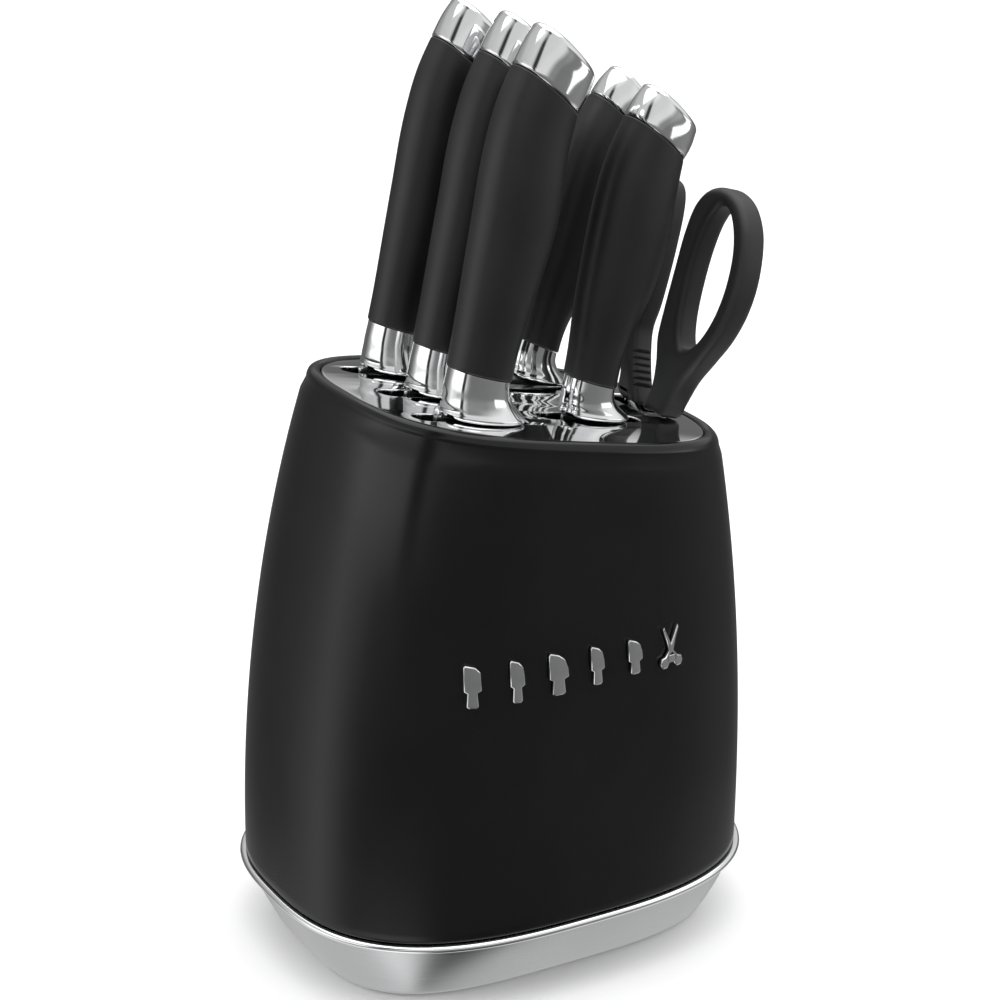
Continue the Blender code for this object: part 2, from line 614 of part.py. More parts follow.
def rack_slot(k):
    """The slot that a blade needs where it crosses the rack."""
    frame = knife_frame(k)
    spec = BLADES[k["blade"]]
    axis = frame.to_3x3() @ Vector((0, 0, 1))
    p = frame.translation
    out = []
    for z in (RACK_Z + RACK_T / 2, RACK_Z - RACK_T / 2):
        q = p + axis * ((z * MM - p.z) / axis.z)
        w = 1 / axis.z
        out.append(q.x / MM + spec["spine"] * w - 2.0)
        out.append(q.x / MM + spec["edge"] * w + 2.0)
    return stadium(min(out), max(out), 4.6, 6, k["y"])


rack_plate = flat("guide_rack", [round_rect(*RACK, 14.0, 6)] + [rack_slot(k) for k in KNIVES.values()],
                  RACK_T, matrix=Matrix.Translation((0, 0, RACK_Z * MM)))
finish(rack_plate, M_RACK)
for i, (x, y) in enumerate(LEGS):
    z0, z1 = FLOOR_Z + GAP, RACK_Z
    leg = lathe("rack_leg_%d" % (i + 1),
                [(0.0, z1), (LEG_R, z1), (LEG_R, z0), (1.5, z0), (1.5, z0 + 9.0), (0.0, z0 + 9.0)],
                16, Matrix.Translation((x * MM, y * MM, 0)))
    leg.matrix_world = Matrix.Translation((x * MM, y * MM, 0))
    cutter(leg)
    cut(rack_plate, leg, "UNION")
    # the screw comes up from the underside into the leg
    hole_tool = lathe("screw_hole_%d" % (i + 1),
                      [(0.0, 8.0), (1.7, 8.0), (1.7, 2.6), (3.6, 2.6), (3.6, -1.0), (0.0, -1.0)],
                      16, Matrix.Translation((x * MM, y * MM, 0)))
    cutter(hole_tool)
    cut(tray, hole_tool)
    cut(pad, hole_tool)
    screw = lathe("rack_screw_%d" % (i + 1),
                  [(0.0, 12.5), (0.9, 12.0), (1.2, 11.4), (1.2, 2.3), (3.2, 2.3), (3.2, 1.5),
                   (2.6, 0.9), (1.3, 0.9), (1.2, 1.6), (0.0, 1.6)], 10)
    screw.matrix_world = Matrix.Translation((x * MM, y * MM, 0))
    finish(screw, M_SCREW)

# =============================================================== badges ====


def front_point(x, z):
    """Point and outward normal of the body's front face."""
    def surf(px, pz):
        t = (pz - RIM_Z) / (top_z(px) - RIM_Z)
        w, d, n, cx = body_section(t)
        return Vector((px, -d / 2 * (1 - abs(2 * (px - cx) / w) ** n) ** (1 / n), pz))
    p = surf(x, z)
    du = surf(x + 0.5, z) - surf(x - 0.5, z)
    dv = surf(x, z + 0.5) - surf(x, z - 0.5)
    return p, du.cross(dv).normalized(), du.normalized()


def knife_icon(length, width, belly):
    """A small upright knife, handle down: a blade, a shoulder, a handle."""
    h = length
    blade0 = -h / 2 + h * 0.40
    pts = [(-width * 0.36, -h / 2 + 0.7), (-width * 0.20, -h / 2), (width * 0.20, -h / 2),
           (width * 0.36, -h / 2 + 0.7), (width * 0.30, blade0 - 0.8), (width * 0.55, blade0),
           (width * (0.55 - 0.02), blade0 + h * 0.2), (width * (0.5 - 0.16 * belly), h / 2 - h * 0.18),
           (width * (0.22 - 0.2 * belly), h / 2 - 1.0), (-width * 0.42, h / 2),
           (-width * 0.5, h / 2 - 0.8), (-width * 0.5, blade0), (-width * 0.30, blade0 - 0.8)]
    return pts


def scissors_icon(h):
    """Open scissors as one outline: two blades up, two bows down."""
    bow = [(0.0, -2.6), (1.0, -2.9), (0.9, -h / 2 + 2.0), (2.2, -h / 2 + 0.2), (4.0, -h / 2 + 0.3),
           (5.0, -h / 2 + 2.0), (4.4, -h / 2 + 3.9), (2.6, -h / 2 + 4.4), (1.0, -1.2)]
    half = bow + [(1.9, 2.2), (3.5, h / 2 - 1.0), (3.0, h / 2)] + [(0.0, 1.1)]
    left = [(-x, y) for x, y in reversed(half[1:-1])]
    return half + left


ICONS = [("badge_knife_1", knife_icon(BADGE_H, 6.0, 0.1)),
         ("badge_knife_2", knife_icon(BADGE_H, 5.2, 0.5)),
         ("badge_knife_3", knife_icon(BADGE_H, 7.2, 1.0)),
         ("badge_knife_4", knife_icon(BADGE_H * 0.92, 5.2, 0.7)),
         ("badge_knife_5", knife_icon(BADGE_H * 0.84, 5.6, 0.8)),
         ("badge_scissors", scissors_icon(BADGE_H))]
for i, (name, outline) in enumerate(ICONS):
    x = BADGE_X0 + (BADGE_X1 - BADGE_X0) * i / (len(ICONS) - 1)
    p, normal, along = front_point(x, BADGE_Z)
    up = normal.cross(along)
    m = Matrix.Identity(4)
    place = p + normal * (GAP + BADGE_T / 2)
    for r in range(3):
        m[r][0], m[r][1], m[r][2], m[r][3] = along[r], up[r], normal[r], place[r] * MM
    badge = flat(name, [outline], BADGE_T, bevel=0.35, matrix=m)
    finish(badge, M_BADGE)
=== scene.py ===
import math
import bpy
import bmesh
import numpy as np
from mathutils import Matrix, Vector


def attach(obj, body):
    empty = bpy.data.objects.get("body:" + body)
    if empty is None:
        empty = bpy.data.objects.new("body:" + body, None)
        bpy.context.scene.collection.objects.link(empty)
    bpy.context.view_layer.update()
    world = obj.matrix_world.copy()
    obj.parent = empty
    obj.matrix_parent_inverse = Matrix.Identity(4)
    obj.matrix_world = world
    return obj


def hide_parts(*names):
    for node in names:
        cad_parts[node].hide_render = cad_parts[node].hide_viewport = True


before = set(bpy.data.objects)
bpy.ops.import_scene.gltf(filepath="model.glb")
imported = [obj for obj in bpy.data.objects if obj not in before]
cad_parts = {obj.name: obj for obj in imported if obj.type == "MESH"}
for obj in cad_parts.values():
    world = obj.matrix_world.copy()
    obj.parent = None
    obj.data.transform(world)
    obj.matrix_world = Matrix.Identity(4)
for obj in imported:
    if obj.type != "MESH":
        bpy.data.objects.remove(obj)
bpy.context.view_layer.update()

MM = 0.001
GAP = 0.3

# ------------------------------------------------ the design's dimensions, mm
RIM_Z = 27.0
RIM_W, RIM_D, RIM_N = 180.0, 143.7, 2.745
TOP_W, TOP_D, TOP_N = 139.3, 121.3, 2.949
TOP_X = 8.44
TOP_Z = 197.8
TILT = math.radians(10.51)
SWELL, LEAN_POW = 2.145, 1.717
WALL, LIP, LEDGE = 3.4, 4.7, 3.4
TRAY_W, TRAY_D, TRAY_N = 154.0, 114.8, 3.43
TRAY_X, TRAY_Z0, BEAD, TRAY_WALL = -0.9, 0.5, 2.0, 3.0
PLATE_T = 3.0
KNIVES = {
    "bread_knife":   dict(s=-32.0, y=34.7, lean=14.60, foot=2.4, size="long", blade="bread", slot=(-51.6, -7.6)),
    "carving_knife": dict(s=-30.6, y=2.8, lean=14.50, foot=2.4, size="long", blade="carving", slot=(-52.9, -8.9)),
    "chef_knife":    dict(s=-34.3, y=-29.5, lean=13.67, foot=2.2, size="long", blade="chef", slot=(-56.6, -12.0)),
    "utility_knife": dict(s=20.0, y=28.1, lean=22.0, foot=4.5, size="short", blade="utility", slot=(-2.3, 42.3)),
    "paring_knife":  dict(s=16.0, y=-21.4, lean=15.36, foot=3.2, size="short", blade="paring", slot=(-2.3, 40.0)),
}
SLOT_WIDTH = 9.6
BOLSTER = {
    "long": [(0.0, 4.1, 14.3, 11.2, None), (0.7, 4.2, 15.3, 12.0, None),
             (2.2, 4.0, 15.2, 11.9, None), (3.6, 3.2, 14.5, 11.4, None),
             (6.0, 1.8, 13.2, 10.7, None), (9.3, 0.3, 11.9, 10.0, None),
             (12.5, -0.3, 11.3, 9.7, None), (15.3, -0.4, 11.2, 9.6, -0.08)],
    "short": [(0.0, 4.2, 11.9, 9.6, None), (0.7, 4.3, 12.9, 10.4, None),
              (2.0, 4.1, 12.8, 10.3, None), (3.4, 3.2, 12.1, 9.9, None),
              (5.4, 1.7, 10.8, 9.3, None), (8.0, 0.2, 9.7, 8.8, None),
              (10.2, -0.3, 9.3, 8.6, None), (12.3, -0.4, 9.2, 8.5, -0.08)],
}
GRIP = {
    "long": [(15.3 + GAP, -0.4, 11.2, 9.6, -0.08), (16.3, -0.4, 11.7, 10.0, -0.08),
             (25.0, -0.5, 11.8, 10.0, -0.08), (34.0, -0.3, 12.4, 10.2, -0.08),
             (44.0, -0.1, 13.1, 10.6, -0.08), (56.0, 0.3, 14.1, 11.1, -0.10),
             (68.0, 0.5, 14.9, 11.5, -0.14), (80.0, 0.1, 15.2, 11.6, -0.20),
             (92.0, -0.4, 14.6, 11.4, -0.30), (102.4, -0.1, 13.8, 11.0, -0.42),
             (111.7, 1.3, 12.8, 10.6, -0.52), (112.5, 1.4, 12.3, 10.2, -0.52)],
    "short": [(12.3 + GAP, -0.4, 9.2, 8.5, -0.08), (13.3, -0.5, 9.7, 8.9, -0.08),
              (21.0, -1.0, 9.8, 9.0, -0.08), (30.0, -1.0, 11.0, 9.5, -0.08),
              (39.0, -0.7, 12.5, 10.1, -0.08), (47.0, -0.1, 13.8, 10.7, -0.10),
              (57.0, 0.1, 14.8, 11.1, -0.14), (67.0, 0.0, 15.2, 11.3, -0.20),
              (77.0, -0.4, 14.9, 11.2, -0.28), (88.0, -0.3, 13.8, 10.9, -0.38),
              (98.9, 0.7, 12.2, 10.3, -0.48), (99.7, 0.8, 11.7, 9.9, -0.48)],
}
CAP = {
    "long": [(112.5 + GAP, 1.4, 12.3, 10.2, -0.52), (113.6, 1.7, 12.8, 10.5, -0.53),
             (118.0, 3.1, 12.9, 10.3, -0.56), (122.3, 4.5, 12.2, 9.9, -0.60),
             (126.0, 5.8, 11.0, 9.2, -0.62), (127.6, 6.3, 9.8, 8.2, -0.62),
             (128.5, 6.5, 7.4, 6.2, -0.62), (128.8, 6.5, 3.9, 3.3, -0.62)],
    "short": [(99.7 + GAP, 0.8, 11.7, 9.9, -0.48), (100.7, 1.0, 12.1, 10.1, -0.49),
              (104.2, 2.1, 11.9, 9.9, -0.51), (107.5, 3.2, 11.2, 9.4, -0.53),
              (110.8, 4.3, 10.1, 8.8, -0.56), (112.2, 4.8, 8.9, 7.8, -0.57),
              (113.0, 5.0, 6.7, 5.9, -0.57), (113.3, 5.0, 3.5, 3.1, -0.57)],
}
TANG_W, TANG_T, TANG_TOP = 10.0, 2.2, 58.0
BLADES = {
    "bread":   dict(length=178.0, spine=-12.5, edge=13.0, thick=2.0, drop=15.0, belly=0.10),
    "carving": dict(length=176.0, spine=-12.0, edge=12.5, thick=2.0, drop=13.0, belly=0.35),
    "chef":    dict(length=178.0, spine=-14.0, edge=17.0, thick=2.4, drop=12.0, belly=0.75),
    "utility": dict(length=124.0, spine=-9.5, edge=11.0, thick=1.8, drop=6.0, belly=0.35),
    "paring":  dict(length=88.0, spine=-8.5, edge=10.0, thick=1.6, drop=4.0, belly=0.45),
}
SC_S, SC_LEAN = 54.0, math.radians(15.5)
SC_U, SC_PIVOT, SC_THICK = 4.0, -9.0, 10.4
SC_SLOT, SC_SLOT_W = (-17.0, 15.5), 12.0
SC_BLADE_T, SC_BLADE_L = 2.0, 98.0
BADGE_Z, BADGE_H, BADGE_T = 122.5, 15.5, 1.6
BADGE_X0, BADGE_X1 = -44.0, 33.0


# -------------------------------------------------------------- mesh tools
def superellipse(w, d, n, count, cx=0.0, cy=0.0):
    pts = []
    for i in range(count):
        a = 2 * math.pi * i / count
        c, s = math.cos(a), math.sin(a)
        pts.append((cx + w / 2 * math.copysign(abs(c) ** (2 / n), c),
                    cy + d / 2 * math.copysign(abs(s) ** (2 / n), s)))
    return pts


def even_ring(w, d, n, count, cx=0.0):
    """A superellipse whose points are evenly spaced along its length."""
    fine = superellipse(w, d, n, count * 8)
    acc = [0.0]
    for a, b in zip(fine, fine[1:] + fine[:1]):
        acc.append(acc[-1] + math.hypot(b[0] - a[0], b[1] - a[1]))
    total, out, j = acc[-1], [], 0
    for i in range(count):
        want = total * i / count
        while acc[j + 1] < want:
            j += 1
        f = (want - acc[j]) / max(acc[j + 1] - acc[j], 1e-9)
        a, b = fine[j], fine[(j + 1) % len(fine)]
        out.append((cx + a[0] + (b[0] - a[0]) * f, a[1] + (b[1] - a[1]) * f))
    return out


def stadium(x0, x1, width, seg=10, cy=0.0):
    r = width / 2
    pts = []
    for i in range(seg + 1):
        a = math.pi / 2 - math.pi * i / seg
        pts.append((x1 - r + r * math.cos(a), cy + r * math.sin(a)))
    for i in range(seg + 1):
        a = -math.pi / 2 - math.pi * i / seg
        pts.append((x0 + r + r * math.cos(a), cy + r * math.sin(a)))
    return pts


def round_rect(x0, x1, y0, y1, r, seg=5):
    pts = []
    for cx, cy, a0 in ((x1 - r, y1 - r, 0), (x0 + r, y1 - r, 90),
                       (x0 + r, y0 + r, 180), (x1 - r, y0 + r, 270)):
        for i in range(seg + 1):
            a = math.radians(a0 + 90 * i / seg)
            pts.append((cx + r * math.cos(a), cy + r * math.sin(a)))
    return pts


def spline_rows(rows, per):
    """Rows of numbers along a handle, joined by natural cubic splines."""
    t = np.array([r[0] for r in rows], float)
    y = np.array(rows, float)
    n = len(t)
    h = np.diff(t)
    A = np.zeros((n, n))
    R = np.zeros_like(y)
    A[0, 0] = A[-1, -1] = 1.0
    for i in range(1, n - 1):
        A[i, i - 1], A[i, i], A[i, i + 1] = h[i - 1], 2 * (h[i - 1] + h[i]), h[i]
        R[i] = 6 * ((y[i + 1] - y[i]) / h[i] - (y[i] - y[i - 1]) / h[i - 1])
    M = np.linalg.solve(A, R)
    out = []
    for i in range(n - 1):
        for j in range(per):
            u = h[i] * j / per
            v = h[i] - u
            out.append(list((M[i] * v ** 3 + M[i + 1] * u ** 3) / (6 * h[i])
                            + (y[i] / h[i] - M[i] * h[i] / 6) * v
                            + (y[i + 1] / h[i] - M[i + 1] * h[i] / 6) * u))
    out.append(list(y[-1]))
    return out


def cap_rows(size):
    """An end cap: straight sides, a rolled rim and a slightly domed oblique end."""
    table = CAP[size]
    long = size == "long"
    A, B, H, r = (12.2, 9.9, 125.2, 2.1) if long else (11.3, 9.2, 109.9, 1.9)
    h0, c0, a0, b0, s0 = table[1]
    h1, c1, s1 = table[-1][0], table[-1][1], table[-1][4]
    side = [[h0, a0, b0], [(h0 * 2 + H) / 3, a0 + 0.12, b0 - 0.05], [(h0 + H * 2) / 3, (a0 + A) / 2 + 0.25, (b0 + B) / 2 + 0.1],
            [H, A, B]]
    rows = [list(table[0]), [h0 - 0.55, c0 - 0.15, a0 - 0.12, b0 - 0.10, s0]]
    wall = [(h, a, b) for h, a, b in spline_rows(side, 6)]
    for i in range(1, 15):
        q = math.radians(74 * i / 14)
        wall.append((H + r * math.sin(q), A - r + r * math.cos(q), B - r + r * math.cos(q)))
    hq, aq, bq = wall[-1]
    R = aq / math.cos(math.radians(74))
    for i in range(1, 15):
        q = math.radians(74 + 15.9 * i / 14)
        a = R * math.cos(q)
        wall.append((hq + R * (math.sin(q) - math.sin(math.radians(74))), a, bq * a / aq))
    top = wall[-1][0]
    for h, a, b in wall:
        f = (h - h0) / (top - h0)
        rows.append([min(h, h1 + 0.02 * f), c0 + (c1 - c0) * f, a, b, s0 + (s1 - s0) * f])
    return rows


def to_object(name, bm, matrix=None, angle=35.0):
    bmesh.ops.recalc_face_normals(bm, faces=bm.faces)
    me = bpy.data.meshes.new(name)
    bm.to_mesh(me)
    bm.free()
    me.shade_smooth()
    me.set_sharp_from_angle(angle=math.radians(angle))
    ob = bpy.data.objects.new(name, me)
    bpy.context.scene.collection.objects.link(ob)
    if matrix is not None:
        ob.matrix_world = matrix
    return ob


def loft(name, rings, closed=False, fan=True, matrix=None, angle=35.0):
    bm = bmesh.new()
    rows = [[bm.verts.new(Vector(p) * MM) for p in ring] for ring in rings]
    n = len(rows[0])
    pairs = list(zip(rows[:-1], rows[1:]))
    if closed:
        pairs.append((rows[-1], rows[0]))
    for a, b in pairs:
        for i in range(n):
            j = (i + 1) % n
            bm.faces.new((a[i], a[j], b[j], b[i]))
    if not closed:
        for row in (rows[0], rows[-1]):
            if fan:
                mid = bm.verts.new(sum((v.co for v in row), Vector()) / n)
                for i in range(n):
                    bm.faces.new((row[i], row[(i + 1) % n], mid))
            else:
                bm.faces.new(row)
    return to_object(name, bm, matrix, angle)


def flat(name, outlines, thick, bevel=0.0, res=3, matrix=None, offset=0.0, angle=35.0):
    """A flat plate from 2D outlines, made as a filled curve."""
    cu = bpy.data.curves.new(name + "_outline", "CURVE")
    cu.dimensions = "2D"
    cu.fill_mode = "BOTH"
    cu.extrude = (thick / 2 - bevel) * MM
    if bevel:
        cu.bevel_depth = bevel * MM
        cu.bevel_resolution = res
        cu.offset = -bevel * MM
    for line in outlines:
        sp = cu.splines.new("POLY")
        sp.points.add(len(line) - 1)
        for p, (x, y) in zip(sp.points, line):
            p.co = (x * MM, y * MM, 0.0, 1.0)
        sp.use_cyclic_u = True
    tmp = bpy.data.objects.new(name + "_tmp", cu)
    bpy.context.scene.collection.objects.link(tmp)
    bpy.context.view_layer.update()
    dg = bpy.context.evaluated_depsgraph_get()
    me = bpy.data.meshes.new_from_object(tmp.evaluated_get(dg))
    bpy.data.objects.remove(tmp, do_unlink=True)
    bpy.data.curves.remove(cu)
    bm = bmesh.new()
    bm.from_mesh(me)
    bpy.data.meshes.remove(me)
    bmesh.ops.remove_doubles(bm, verts=bm.verts, dist=1e-6)
    bmesh.ops.dissolve_degenerate(bm, edges=bm.edges, dist=1e-7)
    if offset:
        bmesh.ops.translate(bm, verts=bm.verts, vec=(0, 0, offset * MM))
    return to_object(name, bm, matrix, angle)


def smooth_line(points, per=6):
    out = []
    n = len(points)
    for i in range(n):
        p0, p1, p2, p3 = (Vector(points[(i + k - 1) % n]) for k in range(4))
        for j in range(per):
            t = j / per
            q = 0.5 * ((2 * p1) + (p2 - p0) * t + (2 * p0 - 5 * p1 + 4 * p2 - p3) * t * t
                       + (3 * p1 - p0 - 3 * p2 + p3) * t ** 3)
            out.append((q.x, q.y))
    return out


def carve(ob, tool):
    """Cut the tool out of the piece and remove the tool."""
    m = ob.modifiers.new("carve", "BOOLEAN")
    m.operation, m.solver, m.object = "DIFFERENCE", "EXACT", tool
    bpy.context.view_layer.update()
    dg = bpy.context.evaluated_depsgraph_get()
    me = bpy.data.meshes.new_from_object(ob.evaluated_get(dg))
    ob.modifiers.clear()
    old = ob.data
    ob.data = me
    bpy.data.meshes.remove(old)
    bpy.data.objects.remove(tool, do_unlink=True)
    me.shade_smooth()
    me.set_sharp_from_angle(angle=math.radians(35))


def place(ob, mat, body, node):
    ob.data.materials.clear()
    ob.data.materials.append(mat)
    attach(ob, body)
    if node:
        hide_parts(node)
    return ob


# ---------------------------------------------------------------- materials
def nodes_for(name):
    m = bpy.data.materials.new(name)
    m.use_nodes = True
    nt = m.node_tree
    return m, nt, nt.nodes["Principled BSDF"]


def node(nt, kind, **props):
    n = nt.nodes.new(kind)
    for k, v in props.items():
        setattr(n, k, v)
    return n


def noise(nt, stretch, scale, detail=3.0, rough=0.55):
    tc = node(nt, "ShaderNodeTexCoord")
    mp = node(nt, "ShaderNodeMapping")
    mp.inputs["Scale"].default_value = stretch
    nz = node(nt, "ShaderNodeTexNoise")
    nz.inputs["Scale"].default_value = scale
    nz.inputs["Detail"].default_value = detail
    nz.inputs["Roughness"].default_value = rough
    nt.links.new(tc.outputs["Object"], mp.inputs["Vector"])
    nt.links.new(mp.outputs["Vector"], nz.inputs["Vector"])
    return nz.outputs["Fac"]


def ranged(nt, fac, lo, hi, a=0.25, b=0.75):
    mr = node(nt, "ShaderNodeMapRange", clamp=True)
    mr.inputs["From Min"].default_value = a
    mr.inputs["From Max"].default_value = b
    mr.inputs["To Min"].default_value = lo
    mr.inputs["To Max"].default_value = hi
    nt.links.new(fac, mr.inputs["Value"])
    return mr.outputs["Result"]


def math_node(nt, op, a, b):
    m = node(nt, "ShaderNodeMath", operation=op)
    for i, v in enumerate((a, b)):
        if isinstance(v, (int, float)):
            m.inputs[i].default_value = v
        else:
            nt.links.new(v, m.inputs[i])
    return m.outputs[0]


def mixed(nt, fac, c0, c1):
    mx = node(nt, "ShaderNodeMix", data_type="RGBA")
    nt.links.new(fac, mx.inputs["Factor"])
    for key, c in (("A", c0), ("B", c1)):
        sock = [s for s in mx.inputs if s.name == key and s.type == "RGBA"][0]
        if isinstance(c, tuple):
            sock.default_value = (*c, 1.0)
        else:
            nt.links.new(c, sock)
    return [s for s in mx.outputs if s.type == "RGBA"][0]


def surface(name, c0, c1, rough, metal=0.0, grain=(1, 1, 1), grain_scale=900.0, bump=0.1,
            depth=0.00005, cloud_scale=30.0, edge=None, **sockets):
    """A material with grain, slow variation of colour and gloss, and wear."""
    m, nt, b = nodes_for(name)
    fine = noise(nt, grain, grain_scale, 4.0, 0.6)
    cloud = noise(nt, (1, 1, 1), cloud_scale, 5.0, 0.6)
    col = mixed(nt, ranged(nt, cloud, 0.0, 1.0, 0.3, 0.7), c0, c1)
    r = math_node(nt, "ADD", ranged(nt, cloud, rough[0], rough[1], 0.3, 0.7),
                  ranged(nt, fine, -rough[2], rough[2], 0.2, 0.8))
    if edge is not None:
        geo = node(nt, "ShaderNodeNewGeometry")
        wear = ranged(nt, geo.outputs["Pointiness"], 0.0, 1.0, 0.505, 0.56)
        scuff = math_node(nt, "MULTIPLY", wear, ranged(nt, fine, 0.2, 1.0, 0.35, 0.65))
        col = mixed(nt, scuff, col, edge[0])
        r = math_node(nt, "ADD", r, math_node(nt, "MULTIPLY", scuff, edge[1]))
    nt.links.new(col, b.inputs["Base Color"])
    nt.links.new(r, b.inputs["Roughness"])
    bp = node(nt, "ShaderNodeBump")
    bp.inputs["Strength"].default_value = bump
    bp.inputs["Distance"].default_value = depth
    nt.links.new(fine, bp.inputs["Height"])
    nt.links.new(bp.outputs["Normal"], b.inputs["Normal"])
    b.inputs["Metallic"].default_value = metal
    for k, v in sockets.items():
        b.inputs[k.replace("_", " ")].default_value = v
    return m


def spec(m, level):
    m.node_tree.nodes["Principled BSDF"].inputs["Specular IOR Level"].default_value = level
    return m


M_SHELL = spec(surface("shell_satin_black", (0.0042, 0.0042, 0.0045), (0.0062, 0.0062, 0.0065),
                       (0.17, 0.23, 0.02), grain_scale=650.0, bump=0.05, depth=0.00003, cloud_scale=22.0,
                       edge=((0.012, 0.012, 0.0125), -0.03)), 0.34)
M_PLATE = surface("plate_mirror_chrome", (0.80, 0.805, 0.81), (0.86, 0.865, 0.87), (0.035, 0.075, 0.012),
                  1.0, (1, 14, 1), 160.0, 0.03, 0.00002, 45.0, edge=((0.9, 0.9, 0.91), 0.05))
M_CHROME = surface("bolster_chrome", (0.78, 0.785, 0.79), (0.85, 0.855, 0.86), (0.055, 0.11, 0.015),
                   1.0, (1, 1, 6), 300.0, 0.04, 0.00002, 60.0, edge=((0.9, 0.9, 0.9), 0.04))
M_GRIP = spec(surface("grip_soft_touch", (0.0046, 0.0046, 0.0049), (0.0068, 0.0068, 0.0072),
                      (0.40, 0.48, 0.05), grain_scale=2600.0, bump=0.30, depth=0.00006,
                      cloud_scale=40.0, edge=((0.02, 0.02, 0.021), -0.08)), 0.55)
M_SCISSOR = spec(surface("scissors_fine_matte", (0.0090, 0.0090, 0.0094), (0.0130, 0.0130, 0.0134),
                         (0.44, 0.54, 0.06), grain_scale=2300.0, bump=0.34, depth=0.00007,
                         cloud_scale=45.0, edge=((0.028, 0.028, 0.029), -0.08)), 0.5)
M_BLADE = surface("blade_ground_steel", (0.56, 0.565, 0.57), (0.66, 0.665, 0.67), (0.20, 0.27, 0.05),
                  1.0, (0.05, 0.05, 3.2), 1500.0, 0.25, 0.00002, 35.0, edge=((0.8, 0.8, 0.8), -0.08))
M_SCBLADE = surface("scissors_ground_steel", (0.56, 0.565, 0.57), (0.66, 0.665, 0.67), (0.22, 0.29, 0.05),
                    1.0, (0.05, 3.2, 0.05), 1500.0, 0.25, 0.00002, 35.0, edge=((0.8, 0.8, 0.8), -0.08))
M_SCREW = surface("screw_steel", (0.45, 0.45, 0.46), (0.55, 0.55, 0.56), (0.28, 0.38, 0.06),
                  1.0, (1, 1, 1), 1400.0, 0.15, 0.00004, 120.0)
M_BADGE = surface("badge_satin_chrome", (0.70, 0.705, 0.71), (0.80, 0.805, 0.81), (0.13, 0.20, 0.04),
                  1.0, (1, 1, 1), 2200.0, 0.10, 0.00003, 120.0, edge=((0.88, 0.88, 0.88), -0.05))
M_PAD = spec(surface("pad_cell_foam", (0.014, 0.014, 0.014), (0.024, 0.024, 0.024), (0.82, 0.95, 0.04),
                     grain_scale=1300.0, bump=0.8, depth=0.0002, cloud_scale=60.0), 0.3)
M_RACK = spec(surface("rack_moulded_plastic", (0.018, 0.018, 0.019), (0.026, 0.026, 0.027),
                      (0.42, 0.55, 0.05), grain_scale=1600.0, bump=0.25, depth=0.00006, cloud_scale=40.0), 0.45)

# the tray: brushed round its girth, its bead polished
M_TRAY, nt, b = nodes_for("tray_brushed_silver")
brush = noise(nt, (9.0, 9.0, 1500.0), 1.0, 5.0, 0.65)
cloud = noise(nt, (1, 1, 1), 24.0, 4.0, 0.6)
tc = node(nt, "ShaderNodeTexCoord")
xyz = node(nt, "ShaderNodeSeparateXYZ")
nt.links.new(tc.outputs["Object"], xyz.inputs["Vector"])
bead = ranged(nt, xyz.outputs["Z"], 0.0, 1.0, 0.0236, 0.0242)
skin = mixed(nt, ranged(nt, brush, 0.0, 1.0, 0.3, 0.7), (0.565, 0.57, 0.575), (0.62, 0.625, 0.63))
nt.links.new(mixed(nt, bead, skin, (0.88, 0.885, 0.89)), b.inputs["Base Color"])
rough = math_node(nt, "ADD", ranged(nt, cloud, 0.27, 0.33, 0.3, 0.7), ranged(nt, brush, -0.05, 0.05, 0.2, 0.8))
nt.links.new(math_node(nt, "SUBTRACT", rough, math_node(nt, "MULTIPLY", bead, 0.17)), b.inputs["Roughness"])
b.inputs["Metallic"].default_value = 1.0
bp = node(nt, "ShaderNodeBump")
bp.inputs["Strength"].default_value = 0.06
bp.inputs["Distance"].default_value = 0.00003
nt.links.new(math_node(nt, "MULTIPLY", brush, math_node(nt, "SUBTRACT", 1.0, bead)), bp.inputs["Height"])
nt.links.new(bp.outputs["Normal"], b.inputs["Normal"])


# -------------------------------------------------------------------- shell
SEG = 224


def body_section(t):
    k = t ** SWELL
    return (RIM_W + (TOP_W - RIM_W) * k, RIM_D + (TOP_D - RIM_D) * k,
            RIM_N + (TOP_N - RIM_N) * t, TOP_X * t ** LEAN_POW)


def top_z(x):
    return TOP_Z - (x - TOP_X) * math.tan(TILT)


def body_ring(t, inset=0.0, rise=0.0, base=RIM_Z, square=0.0):
    w, d, n, cx = body_section(t)
    ring = []
    dx = rise * math.sin(TILT) * square
    dz = rise * (1 - square + math.cos(TILT) * square)
    for x, y in even_ring(w - 2 * inset, d - 2 * inset, n, SEG, cx):
        ring.append((x + dx, y, base + (top_z(x) - base) * t + dz))
    return ring


rings = [body_ring(0.0, 0.6, GAP), body_ring(0.0, 0.35, GAP + 0.08), body_ring(0.0, 0.12, GAP + 0.28),
         body_ring(0.0, 0.0, GAP + 0.6)]
for i in range(1, 45):
    rings.append(body_ring(i / 46))
lip = [(0.0, -3.4), (0.06, -2.5), (0.25, -1.7), (0.9, -0.35), (1.9, 0.5), (3.0, 0.75), (4.0, 0.45), (LIP - 0.15, -0.1),
       (LIP, -0.5)]
curve = []
for i in range(len(lip) - 1):
    p0, p1, p2, p3 = lip[max(i - 1, 0)], lip[i], lip[i + 1], lip[min(i + 2, len(lip) - 1)]
    for j in range(4):
        t = j / 4
        curve.append([0.5 * ((2 * q1) + (q2 - q0) * t + (2 * q0 - 5 * q1 + 4 * q2 - q3) * t * t
                             + (3 * q1 - q0 - 3 * q2 + q3) * t ** 3)
                      for q0, q1, q2, q3 in zip(p0, p1, p2, p3)])
curve.append(list(lip[-1]))
for inset, rise in curve:
    rings.append(body_ring(1.0, max(inset, 0.0), rise, square=min(max(inset - 0.6, 0.0) / 1.2, 1.0)))
